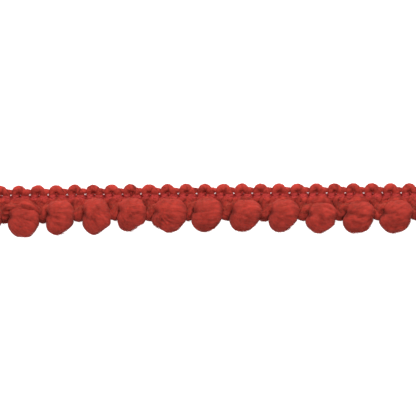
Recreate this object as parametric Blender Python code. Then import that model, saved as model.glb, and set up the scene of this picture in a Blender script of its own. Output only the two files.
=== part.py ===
"""A cut length of pom-pom trim, lying face up.

A crocheted heading with a picot edge carries a thick soft roving. The roving swells into a woolly
pompom every second picot and dips in a short bight between one pompom and the next.

+X runs along the trim, +Y across it towards the picot edge, and +Z up from the surface that it lies on.
The origin is on that surface, at the middle of the trim. Tables are in millimetres.
"""

import math
import random
from collections import namedtuple

import bmesh
import bpy
import numpy as np
from mathutils import Vector

MM = 0.001

# Driving sizes, in millimetres
POMPOM_PITCH = 11.5
PICOT_PITCH = POMPOM_PITCH / 2
HALF_LENGTH = 77.0
FIRST_PICOT_X = -70.2
PIECE_GAP = 0.48

# How the trim lies: raised and lowered a little across its run, as a curve through its length
LIE_SPAN = 64.0
LIE_SHIFT = -0.03
LIE_TILT = 0.39
LIE_BOW = -0.23

# The heading: a crocheted band with a row of arches along its upper edge and of blunt loops along its lower one
HEADING_EDGE_HEIGHT = 0.8
HEADING_BACK_INSET = 0.35
HEADING_TOP = 2.15
HEADING_END_MARGIN = 0.6
LOOP_MIDDLE = 1.3
LOOP_DEPTH = 0.5
LOOP_PHASE = 0.1

# One picot repeat, from the middle of an arch: the place of each column as a share of the pitch, and the
# picot edge there
EdgeColumn = namedtuple("EdgeColumn", "phase edge_y")
EDGE_COLUMNS = (
    EdgeColumn(-0.36, 6.62),
    EdgeColumn(-0.27, 6.95),
    EdgeColumn(-0.14, 7.72),
    EdgeColumn(0.00, 8.02),
    EdgeColumn(0.14, 7.80),
    EdgeColumn(0.27, 7.05),
    EdgeColumn(0.37, 6.82),
    EdgeColumn(0.50, 6.74),
)

# Rows across the heading, from the loops to the picots: the row's place as a share of the way from the lower
# edge to the picot edge, and the height of the knit inside an arch, on a leg of the weft and between arches
HeadingRow = namedtuple("HeadingRow", "share in_arch on_leg between")
HEADING_ROWS = (
    HeadingRow(0.08, 1.55, 1.45, 1.20),
    HeadingRow(0.22, 2.00, 1.85, 1.35),
    HeadingRow(0.36, 1.35, 1.30, 1.20),
    HeadingRow(0.49, 1.55, 1.90, 1.30),
    HeadingRow(0.64, 0.85, 1.85, 1.20),
    HeadingRow(0.78, 1.20, 2.10, 1.90),
    HeadingRow(0.92, 1.95, 1.70, 1.60),
)

# The pompoms: superellipsoids with trimmed facets and a notch where the roving comes in
POMPOM_HALF_HEIGHT = 4.25
POMPOM_SINK = 0.22
PLAN_POWER = 2.5
SIDE_POWER = 2.1
NOTCH_ANGLE = 163.0
NOTCH_HALF_WIDTH = 20.0
NOTCH_DEPTH = 0.75
TRIM_BLEND = 0.35

# The locks of wool: they fan out from a root beside the roving, curl round the ball and part at their cut tips
LOCKS_PER_POMPOM = 13
RINGS_PER_POMPOM = 12
GROOVE_DEPTH = 0.6
TIP_PARTING = 0.25
RIDGE_UNEVENNESS = 0.22

# Each pompom: its middle, its half sizes, where its root is (angle seen from above and rise above level), how
# far its locks curl, and the facets that the scissors left (angle seen from above and distance from the middle)
Pompom = namedtuple("Pompom", "x y half_width half_length root_angle root_rise curl facets")
POMPOMS = (
    Pompom(-68.5, -1.75, 4.75, 5.0, 165, 15, 60, ((-60, 4.7),)),
    Pompom(-57.2, -2.75, 4.95, 5.1, 140, 30, 50, ((-90, 4.9), (-42, 4.55), (-140, 4.65))),
    Pompom(-45.9, -1.95, 4.45, 5.25, 160, 20, 40, ((-64, 4.45),)),
    Pompom(-34.9, -1.70, 4.40, 5.5, 125, 40, 60, ((-55, 4.45), (-135, 5.0))),
    Pompom(-23.6, -1.35, 4.45, 5.15, 150, 30, 70, ((-55, 3.95),)),
    Pompom(-11.9, -1.65, 5.40, 5.2, 158, 12, 45, ((-118, 4.95), (-45, 4.9))),
    Pompom(-0.3, -1.55, 4.85, 5.2, 175, 8, 25, ((-60, 4.9),)),
    Pompom(11.6, -1.90, 5.05, 4.9, 160, 20, 50, ((-62, 4.7),)),
    Pompom(23.4, -1.90, 4.85, 5.0, 155, 30, 55, ((-55, 4.6),)),
    Pompom(35.0, -2.75, 4.85, 4.7, 170, 18, -45, ((-62, 4.25), (-135, 4.45))),
    Pompom(46.7, -2.40, 4.85, 4.85, 178, 8, 30, ((-90, 4.75), (-50, 4.8))),
    Pompom(58.4, -2.25, 4.95, 5.0, 165, 22, 95, ((-136, 4.75), (-90, 4.9))),
    Pompom(69.7, -2.10, 4.75, 4.9, 160, 20, 50, ((-60, 4.6),)),
)

# The roving from one pompom to the next, seen from the middle of the pompom that it runs into: where it goes
# and its thickness there
RovingPoint = namedtuple("RovingPoint", "x y z radius")
ROVING = (
    RovingPoint(-5.9, -3.10, 3.6, 1.10),
    RovingPoint(-5.9, -2.45, 3.8, 1.90),
    RovingPoint(-6.0, -1.60, 4.0, 2.25),
    RovingPoint(-6.0, -0.60, 4.2, 2.20),
    RovingPoint(-5.8, 0.35, 4.3, 1.85),
    RovingPoint(-5.3, 1.15, 4.1, 1.40),
    RovingPoint(-4.5, 1.60, 4.3, 1.10),
    RovingPoint(-3.6, 1.40, 4.9, 0.80),
)
ROVING_RINGS = 11
ROVING_SIDES = 8
END_STUB_RINGS = 6

# Where a soft piece climbs onto the heading, in millimetres across the trim
CLIMB_FROM = -2.0
CLIMB_TO = -0.1

WOOL = (0.56, 0.045, 0.030)
YARN = (0.52, 0.038, 0.028)
ROUGHNESS = 0.92


def material(name, colour):
    """A matte wool material of that colour."""
    made = bpy.data.materials.new(name)
    made.use_nodes = True
    shader = made.node_tree.nodes["Principled BSDF"]
    shader.inputs["Base Color"].default_value = (*colour, 1.0)
    shader.inputs["Roughness"].default_value = ROUGHNESS
    shader.inputs["Metallic"].default_value = 0.0
    made.diffuse_color = (*colour, 1.0)
    return made


def smooth_step(low, high, value):
    """0 below low, 1 above high, and a smooth rise between them."""
    share = min(1.0, max(0.0, (value - low) / (high - low)))
    return share * share * (3 - 2 * share)


def soft_min(a, b, blend):
    """The smaller of two lengths, rounded over where they cross."""
    overlap = max(blend - abs(a - b), 0.0) / blend
    return min(a, b) - overlap * overlap * blend / 4


def sway(x):
    """How far the trim lies off its straight line at x."""
    share = x / LIE_SPAN
    return LIE_SHIFT + share * (LIE_TILT + share * LIE_BOW)


def climb(y):
    """The least height of a soft piece above the surface, so that it clears the heading under it."""
    return (HEADING_TOP + PIECE_GAP) * smooth_step(CLIMB_FROM, CLIMB_TO, y)


def heading_height(row, phase):
    """The height of the knit at a row and at a phase of the picot repeat."""
    second = (row.in_arch + row.between - 2 * row.on_leg) / 4
    first = (row.in_arch - row.between) / 2
    return row.on_leg + second + first * math.cos(math.tau * phase) + second * math.cos(2 * math.tau * phase)


def picot_phase(x):
    """How far x is past the middle of the last picot, as a share of the pitch."""
    return ((x - FIRST_PICOT_X) / PICOT_PITCH) % 1.0


def lower_edge(phase):
    """The lower edge of the heading: a blunt loop under each picot."""
    return LOOP_MIDDLE - LOOP_DEPTH * math.cos(math.tau * (phase - LOOP_PHASE))


def upper_edge(phase):
    """The upper edge of the heading: an arch at each picot."""
    places = [column.phase for column in EDGE_COLUMNS]
    return float(np.interp(phase, places, [column.edge_y for column in EDGE_COLUMNS], period=1.0))


def heading_columns():
    """The place of each column of the heading, from its left end to its right one."""
    inside = HALF_LENGTH - HEADING_END_MARGIN
    places = []
    for picot in range(-2, int(2 * HALF_LENGTH / PICOT_PITCH) + 2):
        places += [FIRST_PICOT_X + (picot + column.phase) * PICOT_PITCH for column in EDGE_COLUMNS]
    return [-HALF_LENGTH, *sorted(x for x in places if abs(x) < inside), HALF_LENGTH]


def heading_section(x):
    """The points round the heading at x, from the back of its lower edge over the knit to the back of its
    picot edge."""
    phase = picot_phase(x)
    low_y = lower_edge(phase)
    top_y = upper_edge(phase)
    points = [
        (low_y + HEADING_BACK_INSET, 0.0),
        (low_y, HEADING_EDGE_HEIGHT),
    ]
    for row in HEADING_ROWS:
        points.append((low_y + row.share * (top_y - low_y), heading_height(row, phase)))
    points.append((top_y, HEADING_EDGE_HEIGHT))
    points.append((top_y - HEADING_BACK_INSET, 0.0))
    return [Vector((x, y + sway(x), z)) * MM for y, z in points]


def build_heading(finish):
    """The knitted heading, one closed band with a flat back."""
    bm = bmesh.new()
    sections = [[bm.verts.new(point) for point in heading_section(x)] for x in heading_columns()]
    last = len(sections[0]) - 1
    for left, right in zip(sections, sections[1:]):
        for i in range(last):
            bm.faces.new((left[i], right[i], right[i + 1], left[i + 1]))
    bm.faces.new([section[0] for section in sections] + [section[last] for section in reversed(sections)])
    bm.faces.new(list(sections[0]))
    bm.faces.new(list(reversed(sections[-1])))
    return finish_object("heading", bm, finish)


def finish_object(name, bm, finish):
    """Turns a closed bmesh into a named, smooth-shaded object with its material."""
    bmesh.ops.recalc_face_normals(bm, faces=bm.faces)
    if bm.calc_volume(signed=True) < 0:
        bmesh.ops.reverse_faces(bm, faces=bm.faces)
    mesh = bpy.data.meshes.new(name)
    bm.to_mesh(mesh)
    bm.free()
    mesh.materials.append(finish)
    made = bpy.data.objects.new(name, mesh)
    bpy.context.scene.collection.objects.link(made)
    mesh.shade_smooth()
    return made


def pompom_middle(pompom):
    """The middle of a pompom, in millimetres."""
    return Vector((pompom.x, pompom.y + sway(pompom.x), POMPOM_HALF_HEIGHT - POMPOM_SINK))


def pompom_radius(pompom, direction):
    """The distance from a pompom's middle to the tips of its wool, in a direction."""
    plan = (
        abs(direction.x / pompom.half_width) ** PLAN_POWER + abs(direction.y / pompom.half_length) ** PLAN_POWER
    ) ** (SIDE_POWER / PLAN_POWER)
    radius = (plan + abs(direction.z / POMPOM_HALF_HEIGHT) ** SIDE_POWER) ** (-1 / SIDE_POWER)
    for angle, reach in pompom.facets:
        towards = direction.x * math.cos(math.radians(angle)) + direction.y * math.sin(math.radians(angle))
        if towards > 0.2:
            radius = soft_min(radius, reach / towards, TRIM_BLEND)
    turn = math.degrees(math.atan2(direction.y, direction.x)) % 360 - NOTCH_ANGLE
    level = math.hypot(direction.x, direction.y)
    return radius - NOTCH_DEPTH * math.exp(-((turn / NOTCH_HALF_WIDTH) ** 2)) * smooth_step(0.35, 0.9, level)


def groove_depth(share, direction):
    """How deep the groove between two locks is, at that share of the way from root to tips."""
    parted = GROOVE_DEPTH * smooth_step(0.08, 0.4, share) + TIP_PARTING * smooth_step(0.6, 0.85, share)
    return parted * smooth_step(-0.9, -0.45, direction.z)


def build_pompom(index, pompom, finish):
    """One pompom: locks round a ball, which stands on a small flat spot and leans on the heading."""
    chance = random.Random(100 + index)
    unevenness = [chance.uniform(0, RIDGE_UNEVENNESS) for _ in range(LOCKS_PER_POMPOM)]
    middle = pompom_middle(pompom)
    level, rise = math.radians(pompom.root_angle), math.radians(pompom.root_rise)
    root = Vector((math.cos(rise) * math.cos(level), math.cos(rise) * math.sin(level), math.sin(rise)))
    to_root = Vector((0, 0, 1)).rotation_difference(root)
    bm = bmesh.new()
    bmesh.ops.create_uvsphere(bm, u_segments=2 * LOCKS_PER_POMPOM, v_segments=RINGS_PER_POMPOM, radius=1.0)
    for vert in bm.verts:
        share = math.acos(max(-1.0, min(1.0, vert.co.z))) / math.pi
        around = math.atan2(vert.co.y, vert.co.x)
        lock, in_groove = divmod(round(around / math.tau * 2 * LOCKS_PER_POMPOM), 2)
        curled = around + math.radians(pompom.curl) * share
        ring = math.sin(math.pi * share)
        direction = to_root @ Vector((ring * math.cos(curled), ring * math.sin(curled), vert.co.z))
        depth = groove_depth(share, direction) * (1 if in_groove else unevenness[lock % LOCKS_PER_POMPOM])
        point = middle + direction * (pompom_radius(pompom, direction) - depth)
        point.z = max(point.z, climb(point.y))
        vert.co = point * MM
    return finish_object(f"pompom_{index + 1:02d}", bm, finish)


def smooth_route(points, count):
    """That many points, evenly placed along a smooth curve through a table of points with radii."""
    values = [Vector((p.x, p.y, p.z, p.radius)) for p in points]
    padded = [2 * values[0] - values[1], *values, 2 * values[-1] - values[-2]]
    route = []
    for i in range(count):
        place = i * (len(values) - 1) / (count - 1)
        k = min(int(place), len(values) - 2)
        t = place - k
        a, b, c, d = padded[k : k + 4]
        bend = 2 * a - 5 * b + 4 * c - d
        twist = 3 * b - a - 3 * c + d
        route.append(0.5 * (2 * b + (c - a) * t + bend * t**2 + twist * t**3))
    return route


def clear_of_pompoms(point, neighbours):
    """A point of the roving, moved out of the pompoms beside it, over the heading and inside the cut ends."""
    for _ in range(3):
        for pompom in neighbours:
            middle = pompom_middle(pompom)
            away = point - middle
            reach = pompom_radius(pompom, away.normalized()) + PIECE_GAP
            if away.length < reach:
                point = middle + away.normalized() * reach
        point.z = max(point.z, PIECE_GAP, climb(point.y))
    point.x = max(-HALF_LENGTH, min(HALF_LENGTH, point.x))
    return point


def build_roving(number, into_x, rings, neighbours, finish):
    """The roving that runs into the pompom at into_x, as a tube that fits between its neighbours."""
    bm = bmesh.new()
    route = smooth_route(ROVING, ROVING_RINGS)[:rings]
    loops = []
    for i, here in enumerate(route):
        ahead = route[min(i + 1, len(route) - 1)] - route[max(i - 1, 0)]
        forward = Vector(ahead[:3]).normalized()
        side = forward.cross(Vector((0, 0, 1))).normalized()
        up = side.cross(forward)
        loop = []
        for k in range(ROVING_SIDES):
            turn = math.tau * k / ROVING_SIDES
            offset = here[3] * (math.cos(turn) * side + math.sin(turn) * up)
            point = Vector(here[:3]) + Vector((into_x, sway(into_x), 0)) + offset
            loop.append(bm.verts.new(clear_of_pompoms(point, neighbours) * MM))
        loops.append(loop)
    for one, two in zip(loops, loops[1:]):
        for k in range(ROVING_SIDES):
            after = (k + 1) % ROVING_SIDES
            bm.faces.new((one[k], one[after], two[after], two[k]))
    bm.faces.new(list(reversed(loops[0])))
    bm.faces.new(loops[-1])
    return finish_object(f"roving_{number:02d}", bm, finish)


def build_trim():
    """The heading, the pompoms and the roving that joins them."""
    wool = material("pompom_wool", WOOL)
    yarn = material("heading_yarn", YARN)
    build_heading(yarn)
    for i, pompom in enumerate(POMPOMS):
        build_pompom(i, pompom, wool)
        build_roving(i + 1, pompom.x, ROVING_RINGS, POMPOMS[max(i - 1, 0) : i + 1], wool)
    past_the_end = POMPOMS[-1].x + POMPOM_PITCH
    build_roving(len(POMPOMS) + 1, past_the_end, END_STUB_RINGS, POMPOMS[-1:], wool)


for old in list(bpy.data.objects):
    bpy.data.objects.remove(old, do_unlink=True)
build_trim()
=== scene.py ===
"""The looks of a pom-pom trim: woolly pompoms and roving on a crocheted heading, seen from straight above.

Everything is worked out in millimetres, in the frame of the solids, and turned into metres where a mesh is
made. +X runs along the trim, +Y towards the picot edge and +Z up.
"""

import math
from collections import namedtuple

import bmesh
import bpy
import numpy as np
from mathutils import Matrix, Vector
from mathutils.bvhtree import BVHTree


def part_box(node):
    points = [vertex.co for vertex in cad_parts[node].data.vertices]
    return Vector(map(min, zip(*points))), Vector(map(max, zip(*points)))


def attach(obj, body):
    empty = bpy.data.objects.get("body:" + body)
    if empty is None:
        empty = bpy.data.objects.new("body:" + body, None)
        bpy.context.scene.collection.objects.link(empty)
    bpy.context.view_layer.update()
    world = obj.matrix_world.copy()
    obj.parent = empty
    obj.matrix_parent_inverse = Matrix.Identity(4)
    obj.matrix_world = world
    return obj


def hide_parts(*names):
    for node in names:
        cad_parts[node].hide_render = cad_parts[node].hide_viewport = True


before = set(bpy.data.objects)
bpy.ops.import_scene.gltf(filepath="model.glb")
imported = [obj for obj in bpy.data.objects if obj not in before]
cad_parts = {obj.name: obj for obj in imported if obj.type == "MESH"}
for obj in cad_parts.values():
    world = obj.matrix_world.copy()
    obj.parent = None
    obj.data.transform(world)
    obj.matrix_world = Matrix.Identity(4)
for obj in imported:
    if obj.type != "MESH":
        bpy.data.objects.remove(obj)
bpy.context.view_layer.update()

MM = 0.001
PHOTO_SIZE_PX = 416
PHOTO_MM_PER_PX = 0.31
POMPOM_PITCH = 11.5
PICOT_PITCH = POMPOM_PITCH / 2
HALF_LENGTH = 77.0
# The first picot, 0.2 mm to the right of the solids' own
FIRST_PICOT_X = -70.0

# How the trim lies off its straight line, as in its solids
LIE_SPAN = 64.0
LIE_SHIFT = -0.03
LIE_TILT = 0.39
LIE_BOW = -0.23


def sway(x):
    """How far the trim lies off its straight line at x."""
    share = x / LIE_SPAN
    return LIE_SHIFT + share * (LIE_TILT + share * LIE_BOW)


# The camera and the lights

CAMERA_HEIGHT = 1.0
CAMERA_AIM_Y = 0.39 * MM
CAMERA_CLIP_START = 0.01
SENSOR_WIDTH_MM = 36.0
AreaLight = namedtuple("AreaLight", "name place size watts")
AREA_LIGHTS = (
    AreaLight("key_light", (0.05, 0.62, 0.64), 0.90, 12.5),
    AreaLight("front_fill", (-0.15, -0.55, 0.80), 0.90, 2.5),
)
SURROUND_COLOUR = (1.0, 0.99, 0.98, 1.0)
SURROUND_STRENGTH = 0.70
FLOOR_HALF_WIDTH = 3.0
FLOOR_DEPTH = 0.02 * MM
FLOOR_COLOUR = (0.5, 0.5, 0.5, 1.0)
FLOOR_ROUGHNESS = 0.9
FLOOR_GLOW_COLOUR = (1.0, 1.0, 1.0, 1.0)
FLOOR_GLOW = 0.88


def add_camera():
    """A long lens straight above the trim, as wide as the photo."""
    camera = bpy.data.objects.new("camera", bpy.data.cameras.new("camera"))
    bpy.context.scene.collection.objects.link(camera)
    camera.location = (0.0, CAMERA_AIM_Y, CAMERA_HEIGHT)
    camera.data.sensor_width = SENSOR_WIDTH_MM
    camera.data.lens = SENSOR_WIDTH_MM * CAMERA_HEIGHT / (PHOTO_SIZE_PX * PHOTO_MM_PER_PX * MM)
    camera.data.clip_start = CAMERA_CLIP_START
    bpy.context.scene.camera = camera


def add_area_light(lamp):
    """A soft square light that looks at the trim."""
    light = bpy.data.objects.new(lamp.name, bpy.data.lights.new(lamp.name, "AREA"))
    bpy.context.scene.collection.objects.link(light)
    light.data.size = lamp.size
    light.data.energy = lamp.watts
    light.location = lamp.place
    light.rotation_euler = (-Vector(lamp.place)).to_track_quat("-Z", "Y").to_euler()
    light.visible_camera = False


def add_light():
    """A large soft light beyond the picot edge, a weaker one in front, and an even pale surround."""
    for lamp in AREA_LIGHTS:
        add_area_light(lamp)
    world = bpy.data.worlds.new("surround")
    world.use_nodes = True
    background = world.node_tree.nodes["Background"]
    background.inputs["Color"].default_value = SURROUND_COLOUR
    background.inputs["Strength"].default_value = SURROUND_STRENGTH
    bpy.context.scene.world = world
    bpy.context.scene.view_settings.view_transform = "Standard"


def add_floor():
    """A plain pale floor, a little lit from within like a light table, so that shadows on it stay pale."""
    mesh = bpy.data.meshes.new("floor")
    corners = [(x * FLOOR_HALF_WIDTH, y * FLOOR_HALF_WIDTH, -FLOOR_DEPTH)
               for x, y in ((-1, -1), (1, -1), (1, 1), (-1, 1))]
    mesh.from_pydata(corners, [], [(0, 1, 2, 3)])
    floor = bpy.data.objects.new("floor", mesh)
    bpy.context.scene.collection.objects.link(floor)
    finish = bpy.data.materials.new("floor_white")
    finish.use_nodes = True
    shader = finish.node_tree.nodes["Principled BSDF"]
    shader.inputs["Base Color"].default_value = FLOOR_COLOUR
    shader.inputs["Roughness"].default_value = FLOOR_ROUGHNESS
    shader.inputs["Emission Color"].default_value = FLOOR_GLOW_COLOUR
    shader.inputs["Emission Strength"].default_value = FLOOR_GLOW
    mesh.materials.append(finish)


# Materials

# A finish: its dark and bright colours, how fine its patches and its streaks are, how deep its bumps are,
# and how much light spreads within it
Finish = namedtuple("Finish", "name dark bright patch_per_mm fibre_per_mm bump_mm softness")
POMPOM_WOOL = Finish(
    "pompom_wool_red", (0.155, 0.0135, 0.0093), (0.355, 0.0315, 0.0215), 0.35, 2.0, 0.16, 0.3
)
HEADING_YARN = Finish(
    "heading_yarn_red", (0.185, 0.0165, 0.0118), (0.365, 0.0325, 0.0228), 0.5, 2.6, 0.12, 0.1
)
CHAIN_THREAD = Finish(
    "chain_thread_red", (0.27, 0.025, 0.023), (0.53, 0.052, 0.047), 0.5, 5.0, 0.04, 0.0
)
WOOL_ROUGHNESS = 0.92
WOOL_SPECULAR = 0.12
SCATTER_RADIUS = (1.0, 0.25, 0.15)
SCATTER_SCALE = 0.5 * MM
SHEEN_WEIGHT = 0.07
SHEEN_ROUGHNESS = 0.5
SHEEN_TINT = (1.0, 0.30, 0.24, 1.0)
# The detail and the roughness of the noise in the patches and in the streaks
PATCH_NOISE = (3.0, 0.5)
FIBRE_NOISE = (4.0, 0.7)
# How the patches, the streaks and the mesh's own shade share in the colour
PATCH_SHARE = 0.35
FIBRE_SHARE = 0.35
SHADE_SHARE = 0.30
# Where on that scale the dark and the bright colour lie, where the colours of the wool end below, in
# painted shade, and how light that painted shade is against the dark colour
DARK_POSITION = 0.32
BRIGHT_POSITION = 0.68
PAINTED_SHADE_POSITION = 0.08
PAINTED_SHADE_SHARE = 0.22
BUMP_STRENGTH = 0.7


def scaled(links, nodes, socket, factor, added=None):
    """A socket's value times a factor, plus another socket's value."""
    step = nodes.new("ShaderNodeMath")
    step.operation = "MULTIPLY_ADD"
    links.new(socket, step.inputs[0])
    step.inputs[1].default_value = factor
    step.inputs[2].default_value = 0.0
    if added is not None:
        links.new(added, step.inputs[2])
    return step.outputs["Value"]


def noise_factor(links, nodes, place, per_mm, kind):
    """A noise over the object, that many patches a millimetre, with that detail and roughness."""
    noise = nodes.new("ShaderNodeTexNoise")
    noise.inputs["Scale"].default_value = per_mm / MM
    noise.inputs["Detail"].default_value = kind[0]
    noise.inputs["Roughness"].default_value = kind[1]
    links.new(place.outputs["Object"], noise.inputs["Vector"])
    return noise.outputs["Fac"]


def woolly_material(finish):
    """A matte wool: soft patches of lighter and darker tone, streaks along its fibres, a fine mottle and a
    little sheen. It is darker still where painted shade takes the mesh's shade below 0, between the locks."""
    made = bpy.data.materials.new(finish.name)
    made.use_nodes = True
    nodes, links = made.node_tree.nodes, made.node_tree.links
    shader = nodes["Principled BSDF"]
    shader.inputs["Roughness"].default_value = WOOL_ROUGHNESS
    shader.inputs["Specular IOR Level"].default_value = WOOL_SPECULAR
    shader.inputs["Subsurface Weight"].default_value = finish.softness
    shader.inputs["Subsurface Radius"].default_value = SCATTER_RADIUS
    shader.inputs["Subsurface Scale"].default_value = SCATTER_SCALE
    shader.inputs["Sheen Weight"].default_value = SHEEN_WEIGHT
    shader.inputs["Sheen Roughness"].default_value = SHEEN_ROUGHNESS
    shader.inputs["Sheen Tint"].default_value = SHEEN_TINT
    place = nodes.new("ShaderNodeTexCoord")
    patches = noise_factor(links, nodes, place, finish.patch_per_mm, PATCH_NOISE)
    fibres = noise_factor(links, nodes, place, finish.fibre_per_mm, FIBRE_NOISE)
    # The mesh's shade: random tone, with painted shade in crevices, creases, rims, under the roving and low
    # in the heading, and painted highlight on raised folds
    streaks = nodes.new("ShaderNodeAttribute")
    streaks.attribute_name = "shade"
    blend = scaled(links, nodes, patches, PATCH_SHARE)
    blend = scaled(links, nodes, fibres, FIBRE_SHARE, blend)
    blend = scaled(links, nodes, streaks.outputs["Fac"], SHADE_SHARE, blend)
    ramp = nodes.new("ShaderNodeValToRGB")
    ramp.color_ramp.elements[0].position = DARK_POSITION
    ramp.color_ramp.elements[0].color = (*finish.dark, 1.0)
    ramp.color_ramp.elements[1].position = BRIGHT_POSITION
    ramp.color_ramp.elements[1].color = (*finish.bright, 1.0)
    # The lowest stop is the colour of the painted shade: the dark colour, darkened further
    painted_shade = ramp.color_ramp.elements.new(PAINTED_SHADE_POSITION)
    painted_shade.color = (*(PAINTED_SHADE_SHARE * value for value in finish.dark), 1.0)
    links.new(blend, ramp.inputs["Fac"])
    links.new(ramp.outputs["Color"], shader.inputs["Base Color"])
    bump = nodes.new("ShaderNodeBump")
    bump.inputs["Strength"].default_value = BUMP_STRENGTH
    bump.inputs["Distance"].default_value = finish.bump_mm * MM
    links.new(fibres, bump.inputs["Height"])
    links.new(bump.outputs["Normal"], shader.inputs["Normal"])
    return made


# Mesh helpers

class Shell:
    """Collects closed shapes, in millimetres, into one mesh of triangles."""

    def __init__(self):
        self.points = []
        self.triangles = []
        self.shades = []
        self.count = 0

    def add(self, points, triangles, shades):
        """Adds points, the triangles between them, and how light each point is: 0 to 1, and down to -1 where
        painted shade darkens the wool."""
        self.points.append(points)
        self.triangles.append(triangles + self.count)
        self.shades.append(shades)
        self.count += len(points)

    def make(self, name, finish, slot, *nodes):
        """Makes the object, which replaces those solids and rides with the trim."""
        points = np.concatenate(self.points) * MM
        triangles = np.concatenate(self.triangles)
        mesh = bpy.data.meshes.new(name)
        mesh.vertices.add(len(points))
        mesh.vertices.foreach_set("co", points.ravel())
        mesh.loops.add(triangles.size)
        mesh.loops.foreach_set("vertex_index", triangles.ravel())
        mesh.polygons.add(len(triangles))
        mesh.polygons.foreach_set("loop_start", np.arange(0, triangles.size, 3))
        mesh.update(calc_edges=True)
        shade = mesh.attributes.new("shade", "FLOAT", "POINT")
        shade.data.foreach_set("value", np.clip(np.concatenate(self.shades), -1, 1))
        mesh.validate()
        mesh.shade_smooth()
        mesh.materials.append(finish)
        made = bpy.data.objects.new(name, mesh)
        bpy.context.scene.collection.objects.link(made)
        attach(made, "root")
        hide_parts(*nodes)


def unit(vectors):
    """The vectors at length one."""
    return vectors / np.maximum(np.linalg.norm(vectors, axis=-1, keepdims=True), 1e-9)


def smooth_step(low, high, value):
    """0 below low, 1 above high, and a smooth rise between them."""
    share = np.clip((value - low) / (high - low), 0.0, 1.0)
    return share * share * (3 - 2 * share)


def soft_noise(u, v, table):
    """Smooth noise between -1 and 1 from a table of random values that repeats both ways."""
    rows, columns = table.shape
    row, column = np.floor(v).astype(int), np.floor(u).astype(int)
    fu, fv = u - column, v - row
    fu, fv = fu * fu * (3 - 2 * fu), fv * fv * (3 - 2 * fv)
    low = table[row % rows, column % columns] * (1 - fu) + table[row % rows, (column + 1) % columns] * fu
    row = row + 1
    high = table[row % rows, column % columns] * (1 - fu) + table[row % rows, (column + 1) % columns] * fu
    return low * (1 - fv) + high * fv


# A grain of noise: how often it changes across and along, how many rows of random values it has, and how
# strongly it shows in the form and in the shade
Grain = namedtuple("Grain", "across along rows relief shade")


def grain_noise(grain, across, along, chance):
    """Smooth noise of that grain at these places across and along."""
    table = chance.uniform(-1, 1, (grain.rows, grain.across))
    return soft_noise(across * grain.across, along * grain.along, table)


# The corners of a hair's triangles: a bent hair has two rings of three points and a tip, a straight one has
# one ring and a tip
BENT_HAIR = np.array([(2, 1, 0), (4, 3, 0), (1, 4, 0), (5, 4, 1), (2, 5, 1), (3, 5, 2), (0, 3, 2),
                      (4, 6, 3), (5, 6, 4), (3, 6, 5)])
STRAIGHT_HAIR = np.array([(2, 1, 0), (1, 3, 0), (2, 3, 1), (0, 3, 2)])
# Where along a hair its rings and its tip are, and how wide its rings are
BENT_HAIR_PLACES = (0.0, 0.55, 1.0)
STRAIGHT_HAIR_PLACES = (0.0, 1.0)
HAIR_WIDTHS = (1.0, 0.8)
# How its lift grows towards its tip, how deep its root lies in the surface, and how low it may lie
HAIR_LIFT_POWER = 1.5
HAIR_ROOT_DEPTH = 0.05
HAIR_LOWEST = 0.01
# A coat of fibres: the spans that its lengths, lifts, radii and shades are drawn from
Coat = namedtuple("Coat", "lengths lifts radii shades")


def add_fibres(shell, starts, out, along, lengths, lifts, radii, shades, bend=0):
    """Fine tapered hairs: each starts on a surface, follows a direction along it, and lifts off towards its
    tip. bend is the radius of the surface that they follow, or 0 for straight hairs on a flat one."""
    spine = []
    for share in BENT_HAIR_PLACES if bend else STRAIGHT_HAIR_PLACES:
        run = (lengths * share)[:, None]
        lift = (lifts * share**HAIR_LIFT_POWER - HAIR_ROOT_DEPTH * (1 - share))[:, None]
        if bend:
            turn = run / bend
            level = starts - out * bend + (out * np.cos(turn) + along * np.sin(turn)) * (bend + lift)
        else:
            level = starts + along * run + out * lift
        spine.append(level)
    side = unit(np.cross(along, out))
    rings = []
    for level, width in zip(spine[:-1], HAIR_WIDTHS):
        for turn in (0, math.tau / 3, 2 * math.tau / 3):
            rings.append(level + (side * math.cos(turn) + out * math.sin(turn)) * (radii * width)[:, None])
    points = np.stack([*rings, spine[-1]], axis=1)
    points[..., 2] = np.maximum(points[..., 2], HAIR_LOWEST)
    pattern = BENT_HAIR if bend else STRAIGHT_HAIR
    corners = points.shape[1]
    triangles = pattern[None] + corners * np.arange(len(starts))[:, None, None]
    shell.add(points.reshape(-1, 3), triangles.reshape(-1, 3), np.repeat(shades, corners))


def smooth_route(points, count):
    """That many points, evenly placed along a smooth curve through a table of rows."""
    values = np.array(points, dtype=float)
    padded = np.vstack([2 * values[0] - values[1], values, 2 * values[-1] - values[-2]])
    place = np.linspace(0, len(values) - 1, count)
    k = np.minimum(place.astype(int), len(values) - 2)
    t = (place - k)[:, None]
    a, b, c, d = (padded[k + i] for i in range(4))
    bend = 2 * a - 5 * b + 4 * c - d
    twist = 3 * b - a - 3 * c + d
    return 0.5 * (2 * b + (c - a) * t + bend * t**2 + twist * t**3)


def tube_frames(centres):
    """The sideways and upward directions square to a route."""
    forward = unit(np.gradient(centres, axis=0))
    side = unit(np.cross(forward, np.array([0.0, 0.0, 1.0])))
    return forward, side, np.cross(side, forward)


def outward(turn, side, up):
    """The directions from the centres of a route to the points of its rings, at these turns."""
    return np.cos(turn)[None, :, None] * side[:, None] + np.sin(turn)[None, :, None] * up[:, None]


def tube_triangles(rings, sides):
    """The triangles of a closed tube whose last two points are the middles of its ends."""
    k = np.arange(sides)
    after = (k + 1) % sides
    base = (np.arange(rings - 1) * sides)[:, None]
    here, there = base + k, base + after
    walls = [np.stack([here, there, there + sides], -1), np.stack([here, there + sides, here + sides], -1)]
    first, last = rings * sides, rings * sides + 1
    tail = (rings - 1) * sides
    first_cap = np.stack([np.full(sides, first), after, k], -1)
    last_cap = np.stack([np.full(sides, last), tail + k, tail + after], -1)
    return np.concatenate([*(wall.reshape(-1, 3) for wall in walls), first_cap, last_cap])


CAP_SHADE = 0.5


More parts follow.
